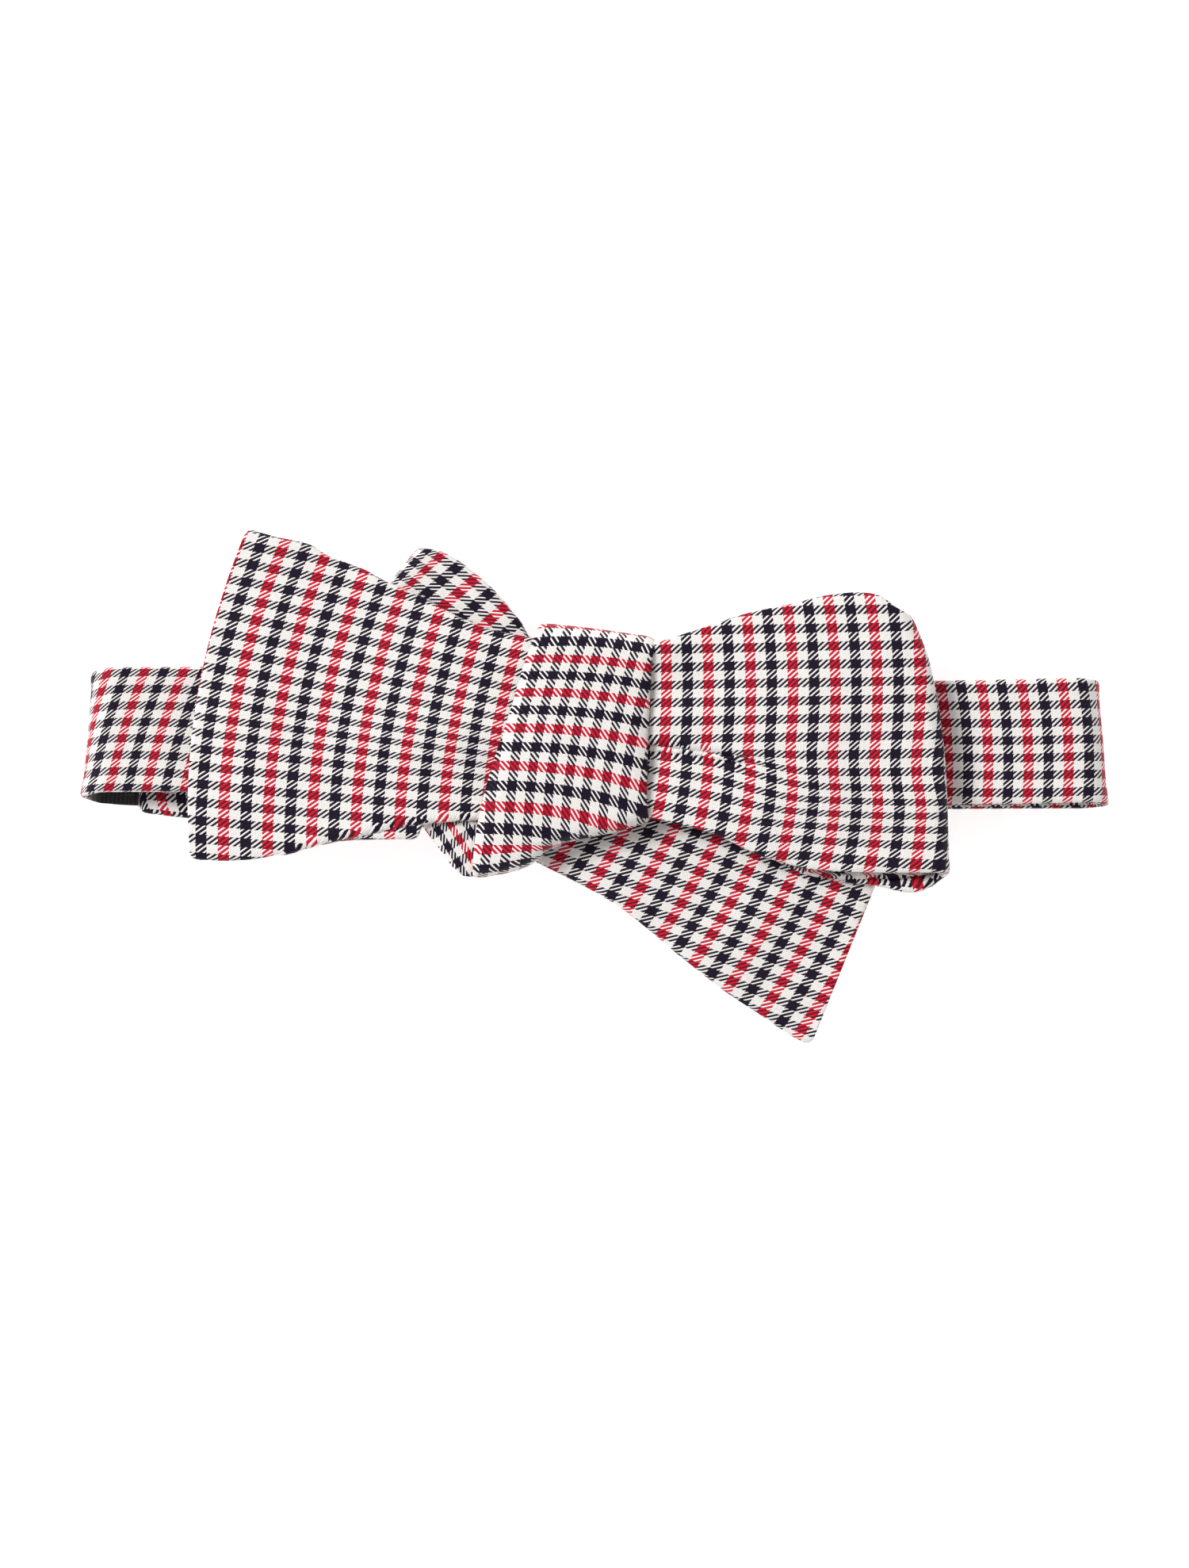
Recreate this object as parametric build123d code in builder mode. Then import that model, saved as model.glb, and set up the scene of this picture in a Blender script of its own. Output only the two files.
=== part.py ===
from build123d import *

import os

# Self-tied bow tie with an adjustable neckband, lying flat with its knot up.
#
# Two long flat sewn tubes of silk, each stiffened by an interlining, are tied
# into one bow. The tube from the left half of the neckband makes the knot, the
# rear loop and the rear blade. The tube from the right half makes the front
# loop and the front blade. Behind the neck a slotted size tape on the left tube
# takes the T hook on the right tube.
#
# Frame: millimetres, +Z up. X runs along the neckband, Z is the height above
# the surface that the tie lies on, and the origin is the centre of the footprint.
# Each tube is divided into sections where another layer hides it.

# Cloth
TUBE = 1.6  # a flattened tube: two layers of silk over the interlining
WALL = 0.35  # one layer of silk
PLY_GAP = 0.4  # air between two tubes that lie on each other
LINING_PLAY = 0.12  # between the silk and the interlining inside it
LINING = TUBE - 2 * WALL - 2 * LINING_PLAY

# Neckband
BAND_WIDTH = 23.0
BAND_REACH = 93.8  # from the middle of the tie to either fold
FOLD_DEPTH = 4.6  # how far a fold bulges past the flat strap
BAND_BOTTOM = 9.4  # underside of the neckband's front half
BAND_INNER_END = 1.0  # where both halves stop behind the knot
LEFT_BAND_Y = 10.3
RIGHT_BAND_Y = 7.6
TAPE_STRAP_Y = 7.8
HOOK_STRAP_Y = 6.2

# Height of the underside of each tube in the bow
REAR_BLADE_BOTTOM = BAND_BOTTOM + TUBE + PLY_GAP
MIDDLE_BOTTOM = REAR_BLADE_BOTTOM + TUBE + PLY_GAP
FRONT_BOTTOM = 17.2
KNOT_BOTTOM = FRONT_BOTTOM + TUBE + PLY_GAP
KNOT_TOP = KNOT_BOTTOM + TUBE

# Tape strap, size tape and hook strap
STRAP_END = 30.0
TAPE_THICKNESS = 0.5
TAPE_WIDTH = 22.0
TAPE_END = 24.0
SLOT_PITCH = 12.7  # half an inch, one collar size
SLOT_COUNT = 9
SLOT_LENGTH = 13.4
SLOT_WIDTH = 2.2
FIRST_SLOT_X = -87.4
HOOK_STRAP_LIFT = 3.0  # underside of the hook strap where it lies on the tape
HOOK_STRAP_END = -82.9
DROP_START = 36.0
DROP_END = 58.0

# T hook and its keeper
WIRE = 0.8
SHANK = 0.7
HOOK_AXIS_X = -83.8
HOOK_AXIS_Z = 3.2
NEAR_BAR_X = -85.3
T_BAR_X = -87.9
T_BAR_Z = 2.05
T_BAR_LENGTH = 11.0
HOOK_Y = 7.0
RING_WIDTH = 9.0
RIBBON = 0.3
KEEPER_WIDTH = 6.0
KEEPER_TAIL_END = -75.0
KEEPER_PLAY = 0.1  # between the far bar of the hook and the ribbon round it

# Stitching
THREAD = 0.25  # how far a stitch stands proud
STITCH = 1.8  # length of a stitch
STITCH_PITCH = 2.8
STITCH_WIDTH = 0.4
TACK_WIDTH = 0.35

FOLD_X = BAND_REACH - FOLD_DEPTH  # where each fold starts
FOLD_Z = (BAND_BOTTOM + TUBE) / 2  # height of each fold's middle

os.makedirs("parts", exist_ok=True)


def save(part, name):
    """Label a finished piece and write it."""
    part.label = name
    export_step(part, f"parts/{name}.step")


# ---------------------------------------------------------------- outlines

with BuildSketch() as front_blade_outline:
    with BuildLine():
        Polyline((4, -4.8), (4, 24.2), (-11.6, 26.0))
        ThreePointArc((-11.6, 26.0), (-36.0, 36.2), (-60.2, 46.5))
        ThreePointArc((-60.2, 46.5), (-63.4, 46.5), (-64.6, 44.4))
        ThreePointArc((-64.6, 44.4), (-72.1, 19.0), (-74.7, -11.6))
        ThreePointArc((-74.7, -11.6), (-74.2, -13.3), (-72.6, -13.9))
        Polyline((-72.6, -13.9), (-62.4, -13.8), (-44.0, -9.3), (-21.8, -6.1), (-10, -5), (4, -4.8))
    make_face()

with BuildSketch() as front_loop_outline:
    with BuildLine():
        Polyline((-4, -4.8), (-4, 24.2), (13.0, 24.4))
        ThreePointArc((13.0, 24.4), (32.0, 32.0), (52.2, 34.4))
        Polyline((52.2, 34.4), (60.5, 31.0), (72.0, 31.0), (72.0, -16.2), (48.0, -16.2))
        ThreePointArc((48.0, -16.2), (30.0, -12.9), (12.0, -4.9))
        Line((12.0, -4.9), (-4, -4.8))
    make_face()

with BuildSketch() as rear_loop_outline:
    with BuildLine():
        Polyline((-8, -8), (-8, 23.5), (-13.5, 27.5), (-19.0, 35.8))
        ThreePointArc((-19.0, 35.8), (-25.5, 41.0), (-33.4, 42.9))
        Polyline((-33.4, 42.9), (-40.0, 50.0), (-62.0, 23.0), (-53.0, 20.0), (-31.9, -8.6))
        Polyline((-31.9, -8.6), (-26.4, -15.4), (-24.6, -15.6), (-8, -8))
    make_face()

with BuildSketch() as rear_blade_outline:
    with BuildLine():
        Polyline((-33.4, 42.9), (-40.0, 50.0), (-62.0, 23.0), (-53.0, 20.0), (-30.0, -4.0))
        Polyline((-30.0, -4.0), (-10.2, -14.4), (5.8, -23.5), (37.0, -46.1))
        ThreePointArc((37.0, -46.1), (39.7, -46.6), (41.2, -44.6))
        ThreePointArc((41.2, -44.6), (51.5, -20.0), (61.0, 4.0))
        Polyline((61.0, 4.0), (58.0, 7.0), (12.0, 14.0), (-8, 24.0), (-13.5, 28.0), (-19.0, 35.8))
        ThreePointArc((-19.0, 35.8), (-25.5, 41.0), (-33.4, 42.9))
    make_face()

with BuildSketch() as knot_outline:
    with BuildLine():
        Polyline((-10.7, 29.4), (11.6, 26.3), (10.3, 9.9), (10.8, -6.8), (-8.7, -11.6))
        Polyline((-8.7, -11.6), (-12.3, -14.8), (-23.2, -17.1), (-19.2, 3.0), (-10.7, 29.4))
    make_face()

with BuildSketch() as knot_passage_outline:
    with BuildLine():
        Polyline((-30.0, 30.4), (30.0, 22.0), (30.0, -0.2), (10.8, -5.1), (-8.1, -9.9))
        Polyline((-8.1, -9.9), (-11.7, -13.1), (-40.0, -19.0), (-30.0, 30.4))
    make_face()

# The front loop turns back on itself along this line, outermost edge first
FRONT_FOLD_FOOT = Vector(65.2, -16.2, 0)
FRONT_FOLD_HEAD = Vector(60.3, 31.0, 0)
# The rear loop turns back along this one
REAR_FOLD_HEAD = Vector(-33.4, 42.9, 0)
REAR_FOLD_FOOT = Vector(-52.8, 20.0, 0)


def fold_plane(start, finish, radius, height):
    """Plane square to a fold, x pointing out of it, at the middle of the bend."""
    along = (finish - start).normalized()
    outward = along.cross(Vector(0, 0, 1))
    return Plane(origin=start - outward * radius + Vector(0, 0, height), x_dir=outward, z_dir=along * -1)


front_fold_radius = (FRONT_BOTTOM + TUBE - MIDDLE_BOTTOM) / 2
front_fold = fold_plane(
    FRONT_FOLD_FOOT, FRONT_FOLD_HEAD, front_fold_radius, MIDDLE_BOTTOM + front_fold_radius
)
rear_fold_radius = (MIDDLE_BOTTOM + TUBE - REAR_BLADE_BOTTOM) / 2
rear_fold = fold_plane(
    REAR_FOLD_HEAD, REAR_FOLD_FOOT, rear_fold_radius, REAR_BLADE_BOTTOM + rear_fold_radius
)


# ------------------------------------------------------- tubes and linings


def flat_layer(outline, bottom, thickness, inset, ends):
    """A flat layer of an outline, drawn in by inset and cut off square at its open ends."""
    with BuildPart() as layer:
        with BuildSketch(Plane.XY.offset(bottom)):
            add(outline.sketch)
            if inset:
                offset(amount=-inset)
        extrude(amount=thickness)
        for end in ends:
            split(bisect_by=end, keep=Keep.BOTTOM)
    return layer.part


def flat_tube(outline, bottom, ends):
    """A pressed sewn tube whose inside runs out through each open end."""
    with BuildPart() as tube:
        add(flat_layer(outline, bottom, TUBE, 0, ends))
        add(flat_layer(outline, bottom + WALL, TUBE - 2 * WALL, WALL, ends), mode=Mode.SUBTRACT)
    return tube.part


def flat_lining(outline, bottom, ends):
    """The interlining that fills such a tube."""
    inset = WALL + LINING_PLAY
    return flat_layer(outline, bottom + inset, LINING, inset, ends)


def half_ring(plane, reach, rise, thickness, inset, length):
    """Half of an elliptical ring on the x side of a plane, inset in section."""
    outer_reach = reach - inset
    outer_rise = rise - inset
    with BuildPart() as ring:
        with BuildSketch(plane):
            Ellipse(outer_reach, outer_rise)
            Ellipse(outer_reach - thickness, outer_rise - thickness, mode=Mode.SUBTRACT)
            with Locations((-outer_reach, 0)):
                Rectangle(2 * outer_reach, 3 * outer_rise, mode=Mode.SUBTRACT)
        extrude(amount=-length)
    return ring.part


def fold_tube(plane, reach, rise, length):
    """A tube bent round a fold, open at both ends of the bend."""
    inner = plane.offset(-WALL)
    with BuildPart() as tube:
        add(half_ring(plane, reach, rise, TUBE, 0, length))
        add(half_ring(inner, reach, rise, TUBE - 2 * WALL, WALL, length - 2 * WALL), mode=Mode.SUBTRACT)
    return tube.part


def fold_lining(plane, reach, rise, length):
    """The interlining inside a fold."""
    inset = WALL + LINING_PLAY
    return half_ring(plane.offset(-inset), reach, rise, LINING, inset, length - 2 * inset)


def strap_outline(left, right, middle_y):
    """A straight strap of the neckband's width."""
    with BuildSketch() as strap:
        with Locations(((left + right) / 2, middle_y)):
            Rectangle(right - left, BAND_WIDTH)
    return strap


# --------------------------------------------------------------- the bow

knot_split = Plane.YZ
knot_split_back = Plane(origin=(0, 0, 0), x_dir=(0, 1, 0), z_dir=(-1, 0, 0))
front_fold_end = Plane(origin=front_fold.origin, x_dir=(0, 0, 1), z_dir=front_fold.x_dir)
rear_fold_end = Plane(origin=rear_fold.origin, x_dir=(0, 0, 1), z_dir=rear_fold.x_dir)
front_fold_length = (FRONT_FOLD_HEAD - FRONT_FOLD_FOOT).length
rear_fold_length = (REAR_FOLD_HEAD - REAR_FOLD_FOOT).length

save(flat_tube(front_blade_outline, FRONT_BOTTOM, [knot_split]), "front_blade")

loop_ends = [knot_split_back, front_fold_end]
save(flat_tube(front_loop_outline, FRONT_BOTTOM, loop_ends), "front_loop_face")
save(flat_tube(front_loop_outline, MIDDLE_BOTTOM, loop_ends), "front_loop_return")
save(
    fold_tube(front_fold, front_fold_radius, front_fold_radius, front_fold_length),
    "front_loop_fold",
)

with BuildPart() as front_lining:
    add(flat_lining(front_blade_outline, FRONT_BOTTOM, [knot_split]))
    add(flat_lining(front_loop_outline, FRONT_BOTTOM, loop_ends))
    add(flat_lining(front_loop_outline, MIDDLE_BOTTOM, loop_ends))
    add(fold_lining(front_fold, front_fold_radius, front_fold_radius, front_fold_length))
save(front_lining.part, "front_bow_interlining")

save(flat_tube(rear_blade_outline, REAR_BLADE_BOTTOM, [rear_fold_end]), "rear_blade")
save(flat_tube(rear_loop_outline, MIDDLE_BOTTOM, [rear_fold_end]), "rear_loop")
save(
    fold_tube(rear_fold, rear_fold_radius, rear_fold_radius, rear_fold_length),
    "rear_loop_fold",
)

with BuildPart() as rear_lining:
    add(flat_lining(rear_blade_outline, REAR_BLADE_BOTTOM, [rear_fold_end]))
    add(flat_lining(rear_loop_outline, MIDDLE_BOTTOM, [rear_fold_end]))
    add(fold_lining(rear_fold, rear_fold_radius, rear_fold_radius, rear_fold_length))
save(rear_lining.part, "rear_bow_interlining")


# The knot is the left tube brought up behind the bow, over its top edge and
# down the front, with its lower edge turned under. The passage through it
# takes the blades and loops.
KNOT_OVERHANG = 0.1  # how far its upper turn reaches below the rear blade
KNOT_BACK = REAR_BLADE_BOTTOM - KNOT_OVERHANG
LOWER_TURN = MIDDLE_BOTTOM
PASSAGE_FLOOR = 0.0


def knot_layer(outer_inset, passage_inset, top, back, lower):
    """The knot's C section: front, upper turn and lower turn, thinned by the insets."""
    with BuildPart() as layer:
        with BuildSketch(Plane.XY.offset(back)):
            add(knot_outline.sketch)
            if outer_inset:
                offset(amount=-outer_inset)
        extrude(amount=top - back)
        with BuildSketch(Plane.XY.offset(PASSAGE_FLOOR)):
            add(knot_passage_outline.sketch)
            if passage_inset:
                offset(amount=passage_inset)
        extrude(amount=KNOT_BOTTOM + passage_inset - PASSAGE_FLOOR, mode=Mode.SUBTRACT)
        with BuildSketch(Plane.XY.offset(PASSAGE_FLOOR)):
            with Locations((0, -BAND_WIDTH / 2)):
                Rectangle(4 * BAND_WIDTH, 2 * BAND_WIDTH)
        extrude(amount=lower - PASSAGE_FLOOR, mode=Mode.SUBTRACT)
    return layer.part


lining_inset = WALL + LINING_PLAY
with BuildPart() as knot_wrap:
    add(knot_layer(0, 0, KNOT_TOP, KNOT_BACK, LOWER_TURN))
    add(
        knot_layer(WALL, WALL, KNOT_TOP - WALL, KNOT_BACK - TUBE, LOWER_TURN - TUBE),
        mode=Mode.SUBTRACT,
    )
save(knot_wrap.part, "knot_wrap")
save(
    knot_layer(lining_inset, lining_inset, KNOT_TOP - lining_inset, KNOT_BACK, LOWER_TURN),
    "knot_interlining",
)


# ----------------------------------------------------------- the neckband

left_turn = Plane(
    origin=(-FOLD_X, LEFT_BAND_Y - BAND_WIDTH / 2, FOLD_Z), x_dir=(-1, 0, 0), z_dir=(0, -1, 0)
)
right_turn = Plane(
    origin=(FOLD_X, RIGHT_BAND_Y + BAND_WIDTH / 2, FOLD_Z), x_dir=(1, 0, 0), z_dir=(0, 1, 0)
)
left_turn_end = Plane(origin=(-FOLD_X, 0, 0), x_dir=(0, 1, 0), z_dir=(-1, 0, 0))
right_turn_end = Plane(origin=(FOLD_X, 0, 0), x_dir=(0, 1, 0), z_dir=(1, 0, 0))
OVERRUN = 5.0  # extra outline past an open end, cut away there

left_band = strap_outline(-FOLD_X - OVERRUN, -BAND_INNER_END, LEFT_BAND_Y)
right_band = strap_outline(BAND_INNER_END, FOLD_X + OVERRUN, RIGHT_BAND_Y)
tape_band = strap_outline(-FOLD_X - OVERRUN, STRAP_END, TAPE_STRAP_Y)

save(flat_tube(left_band, BAND_BOTTOM, [left_turn_end]), "neckband_left")
save(flat_lining(left_band, BAND_BOTTOM, [left_turn_end]), "neckband_left_interlining")
save(flat_tube(right_band, BAND_BOTTOM, [right_turn_end]), "neckband_right")
save(flat_lining(right_band, BAND_BOTTOM, [right_turn_end]), "neckband_right_interlining")
save(fold_tube(left_turn, FOLD_DEPTH, FOLD_Z, BAND_WIDTH), "neckband_left_fold")
save(fold_lining(left_turn, FOLD_DEPTH, FOLD_Z, BAND_WIDTH), "left_fold_interlining")
save(fold_tube(right_turn, FOLD_DEPTH, FOLD_Z, BAND_WIDTH), "neckband_right_fold")
save(fold_lining(right_turn, FOLD_DEPTH, FOLD_Z, BAND_WIDTH), "right_fold_interlining")
save(flat_tube(tape_band, 0, [left_turn_end]), "tape_strap")
save(flat_lining(tape_band, 0, [left_turn_end]), "tape_strap_interlining")


def hook_strap_layer(inset, thickness, overrun):
    """The hook strap: flat from the fold, then up a low step on to the tape strap."""
    low = inset
    high = HOOK_STRAP_LIFT + inset
    with BuildPart() as layer:
        with BuildSketch(Plane.XZ.offset(-HOOK_STRAP_Y - BAND_WIDTH / 2 + inset)):
            with BuildLine():
                Polyline(
                    (FOLD_X + overrun, low + thickness),
                    (FOLD_X + overrun, low),
                    (DROP_END, low),
                    (DROP_START, high),
                    (HOOK_STRAP_END + inset, high),
                    (HOOK_STRAP_END + inset, high + thickness),
                    (DROP_START, high + thickness),
                    (DROP_END, low + thickness),
                    (FOLD_X + overrun, low + thickness),
                )
            make_face()
        extrude(amount=BAND_WIDTH - 2 * inset)
    return layer.part


with BuildPart() as hook_strap:
    add(hook_strap_layer(0, TUBE, 0))
    add(hook_strap_layer(WALL, TUBE - 2 * WALL, OVERRUN), mode=Mode.SUBTRACT)
save(hook_strap.part, "hook_strap")
save(hook_strap_layer(WALL + LINING_PLAY, LINING, 0), "hook_strap_interlining")


# ------------------------------------------- size tape, hook and stitching

tape_length = TAPE_END + FOLD_X
with BuildPart() as size_tape:
    with BuildSketch(Plane.XY.offset(TUBE)):
        with Locations((TAPE_END - tape_length / 2, TAPE_STRAP_Y)):
            Rectangle(tape_length, TAPE_WIDTH)
        for slot in range(SLOT_COUNT):
            with Locations((FIRST_SLOT_X + slot * SLOT_PITCH, TAPE_STRAP_Y)):
                Rectangle(SLOT_WIDTH, SLOT_LENGTH, mode=Mode.SUBTRACT)
    extrude(amount=TAPE_THICKNESS)
save(size_tape.part, "size_tape")

TAPE_SEAM_INSET = 1.2
stitches_along = int((tape_length - 2 * TAPE_SEAM_INSET) / STITCH_PITCH)
with BuildPart() as tape_stitching:
    with BuildSketch(Plane.XY.offset(TUBE + TAPE_THICKNESS)):
        with Locations((TAPE_END - tape_length / 2, TAPE_STRAP_Y)):
            with GridLocations(STITCH_PITCH, TAPE_WIDTH - 2 * TAPE_SEAM_INSET, stitches_along, 2):
                SlotOverall(STITCH, STITCH_WIDTH)
    extrude(amount=THREAD)
save(tape_stitching.part, "size_tape_stitching")

ring_side = RING_WIDTH / 2 - WIRE / 2
with BuildPart() as t_hook:
    for bar_x, bar_z, bar_length in (
        (HOOK_AXIS_X, HOOK_AXIS_Z, RING_WIDTH),
        (NEAR_BAR_X, HOOK_AXIS_Z, RING_WIDTH),
        (T_BAR_X, T_BAR_Z, T_BAR_LENGTH),
    ):
        with BuildSketch(Plane.XZ.offset(-HOOK_Y)):
            with Locations((bar_x, bar_z)):
                Circle(WIRE / 2)
        extrude(amount=bar_length / 2, both=True)
    for side in (-ring_side, ring_side):
        with BuildSketch(Plane(origin=(HOOK_AXIS_X, HOOK_Y + side, HOOK_AXIS_Z), z_dir=(-1, 0, 0))):
            Circle(WIRE / 2)
        extrude(amount=HOOK_AXIS_X - NEAR_BAR_X)
    shank = Vector(T_BAR_X - NEAR_BAR_X, 0, T_BAR_Z - HOOK_AXIS_Z)
    with BuildSketch(Plane(origin=(NEAR_BAR_X, HOOK_Y, HOOK_AXIS_Z), z_dir=shank)):
        Circle(SHANK / 2)
    extrude(amount=shank.length)
save(t_hook.part, "t_hook")

keeper_bore = WIRE / 2 + KEEPER_PLAY
keeper_radius = keeper_bore + RIBBON
with BuildPart() as hook_keeper:
    with BuildSketch(Plane.XZ.offset(-HOOK_Y)):
        with Locations((HOOK_AXIS_X, HOOK_AXIS_Z)):
            Circle(keeper_radius)
        with BuildLine():
            Polyline(
                (HOOK_AXIS_X, HOOK_AXIS_Z - keeper_radius),
                (KEEPER_TAIL_END, HOOK_AXIS_Z - keeper_radius),
                (KEEPER_TAIL_END, HOOK_STRAP_LIFT),
                (HOOK_AXIS_X, HOOK_STRAP_LIFT),
                (HOOK_AXIS_X, HOOK_AXIS_Z - keeper_radius),
            )
        make_face()
        with Locations((HOOK_AXIS_X, HOOK_AXIS_Z)):
            Circle(keeper_bore, mode=Mode.SUBTRACT)
    extrude(amount=KEEPER_WIDTH / 2, both=True)
save(hook_keeper.part, "hook_keeper")

TACK_X = (-80.5, -77.5)  # the two bars of tacks that hold the keeper
TACK_ROWS = 9
with BuildPart() as keeper_tacks:
    with BuildSketch(Plane.XY.offset(HOOK_STRAP_LIFT + TUBE)):
        for tack_x in TACK_X:
            with Locations((tack_x, HOOK_Y)):
                with GridLocations(1, KEEPER_WIDTH / TACK_ROWS, 1, TACK_ROWS):
                    SlotOverall(STITCH, TACK_WIDTH)
    extrude(amount=THREAD)
save(keeper_tacks.part, "keeper_bar_tacks")
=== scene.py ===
"""Visual model of a self-tied bow tie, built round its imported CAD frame.

Shapes are worked out in millimetres in the frame's own axes, and turned to metres
when a mesh is made. Each length of the tie is a flat sewn tube: a middle surface
with a rounded cloth thickness round it, and woven fabric coordinates, in
millimetres along and across the cloth, in its "weave" map.
"""
import math

import bmesh
import bpy
import numpy as np
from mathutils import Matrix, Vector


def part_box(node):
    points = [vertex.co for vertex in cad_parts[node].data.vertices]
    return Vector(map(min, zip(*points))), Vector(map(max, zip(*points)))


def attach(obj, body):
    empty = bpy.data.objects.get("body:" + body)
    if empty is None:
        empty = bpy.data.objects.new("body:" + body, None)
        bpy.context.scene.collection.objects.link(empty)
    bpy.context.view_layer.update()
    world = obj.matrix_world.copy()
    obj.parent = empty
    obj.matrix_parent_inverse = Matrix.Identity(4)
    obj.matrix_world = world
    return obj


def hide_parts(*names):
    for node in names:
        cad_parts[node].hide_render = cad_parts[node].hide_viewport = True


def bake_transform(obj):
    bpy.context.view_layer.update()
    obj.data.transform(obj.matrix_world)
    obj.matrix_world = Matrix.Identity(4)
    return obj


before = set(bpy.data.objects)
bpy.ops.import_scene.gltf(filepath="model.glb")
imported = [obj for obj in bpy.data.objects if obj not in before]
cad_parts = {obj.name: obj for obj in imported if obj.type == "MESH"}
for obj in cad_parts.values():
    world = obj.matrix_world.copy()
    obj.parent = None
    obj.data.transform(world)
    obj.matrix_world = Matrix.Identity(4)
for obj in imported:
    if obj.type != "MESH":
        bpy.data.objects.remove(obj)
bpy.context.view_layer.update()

MM = 0.001
GRID = 0.9  # spacing of a mesh across and along the cloth
FINE_GRID = 0.42  # the same where there are sharp creases
HALF = 0.8  # half the thickness of a pressed tube
LINING_HALF = 0.3
SEAM_RIDGE = 0.10  # the turned seam allowance inside each edge
SEAM_WIDTH = 4.0
REPEAT_ALONG = 7.63  # red, ivory, navy, ivory
REPEAT_ACROSS = 3.41  # navy, ivory
THREADS_IN_GROUP = 7
TWILL = 4.0  # threads from one twill line to the next: over two, under two
STEP_ALONG = REPEAT_ALONG / 2  # from a red stripe to the next navy one


def level(node):
    """Middle height of a flat CAD tube, in mm."""
    low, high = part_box(node)
    return (low[2] + high[2]) / 2 / MM


FRONT_Z = level("front_blade")
MIDDLE_Z = level("rear_loop")
REAR_Z = level("rear_blade")
BAND_Z = level("neckband_left")
TABLE_STRAP_Z = level("tape_strap")
KNOT_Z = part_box("knot_wrap")[1][2] / MM - HALF
BAND_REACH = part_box("neckband_right_fold")[1][0] / MM
FOLD_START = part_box("neckband_right_fold")[0][0] / MM
HOOK_STRAP_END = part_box("hook_strap")[0][0] / MM
HOOK_STRAP_TOP_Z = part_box("hook_strap")[1][2] / MM - HALF
TAPE_STRAP_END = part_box("tape_strap")[1][0] / MM
TAPE_STRAP_Y = (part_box("tape_strap")[0][1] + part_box("tape_strap")[1][1]) / 2 / MM
HOOK_STRAP_Y = (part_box("hook_strap")[0][1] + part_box("hook_strap")[1][1]) / 2 / MM


# ------------------------------------------------------------------ curves


def smooth(points, count=400):
    """Points spread evenly along a smooth curve through the given ones."""
    p = np.array(points, float)
    p = np.vstack([2 * p[0] - p[1], p, 2 * p[-1] - p[-2]])
    t = np.linspace(0, 1, 24, endpoint=False)[:, None]
    runs = []
    for a, b, c, d in zip(p, p[1:], p[2:], p[3:]):
        runs.append(
            0.5
            * (2 * b + (c - a) * t + (2 * a - 5 * b + 4 * c - d) * t**2 + (3 * b - a - 3 * c + d) * t**3)
        )
    line = np.vstack([*runs, p[-2:-1]])
    length = np.concatenate([[0], np.cumsum(np.linalg.norm(np.diff(line, axis=0), axis=1))])
    at = np.linspace(0, length[-1], count)
    return np.stack([np.interp(at, length, line[:, k]) for k in range(line.shape[1])], axis=1)


def edge(points):
    """A curve as a function of the share of its length."""
    line = smooth(points)
    share = np.linspace(0, 1, len(line))

    def at(q):
        return np.stack([np.interp(q, share, line[:, k]) for k in range(line.shape[1])], axis=-1)

    return at


def profile(points):
    """A smooth single-valued curve: y as a function of x."""
    line = smooth(points)
    order = np.argsort(line[:, 0])
    line = line[order]

    def at(x):
        return np.interp(x, line[:, 0], line[:, 1])

    return at


def ease(x):
    """0 below 0, 1 above 1, and smooth between."""
    x = np.clip(x, 0, 1)
    return x * x * (3 - 2 * x)


def between(lower, upper, t):
    """From lower at t -1 to upper at t 1."""
    w = (t + 1) / 2
    if np.ndim(lower) > np.ndim(t):
        w = w[..., None]
    return lower * (1 - w) + upper * w


def ripple(x, y, seed, height=0.12):
    """A faint unevenness of the cloth."""
    rng = np.random.default_rng(seed)
    total = np.zeros_like(x)
    for wave in (9.0, 14.0, 21.0, 33.0):
        angle, phase = rng.uniform(0, 2 * math.pi, 2)
        along = x * math.cos(angle) + y * math.sin(angle)
        total += np.sin(2 * math.pi * along / wave + phase) * wave / 33
    return total * height


# ------------------------------------------------------------------ meshes


def spread(length, spacing, fine_start=True, fine_end=True):
    """Shares from 0 to 1 about one spacing apart, closer where an end is rounded."""
    count = max(3, round(length / spacing))
    shares = list(np.linspace(0, 1, count + 1))
    fine = [f * HALF / length for f in (0.08, 0.3, 0.62, 1.0)]
    if fine_start:
        shares = [s for s in shares if s == 0 or s > fine[-1] * 1.3] + fine
    if fine_end:
        shares = [s for s in shares if s == 1 or s < 1 - fine[-1] * 1.3] + [1 - f for f in fine]
    return np.array(sorted(shares))


def round_off(distance, radius):
    """Height of a quarter circle at a distance from its foot, as a share of its radius."""
    return np.sqrt(1 - (1 - np.clip(distance / radius, 0, 1)) ** 2)


def distances(p, axis):
    """Distance along a grid of points from its first row."""
    step = np.linalg.norm(np.diff(p, axis=axis), axis=-1)
    start = np.zeros_like(np.take(step, [0], axis=axis))
    return np.concatenate([start, np.cumsum(step, axis=axis)], axis=axis)


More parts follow.
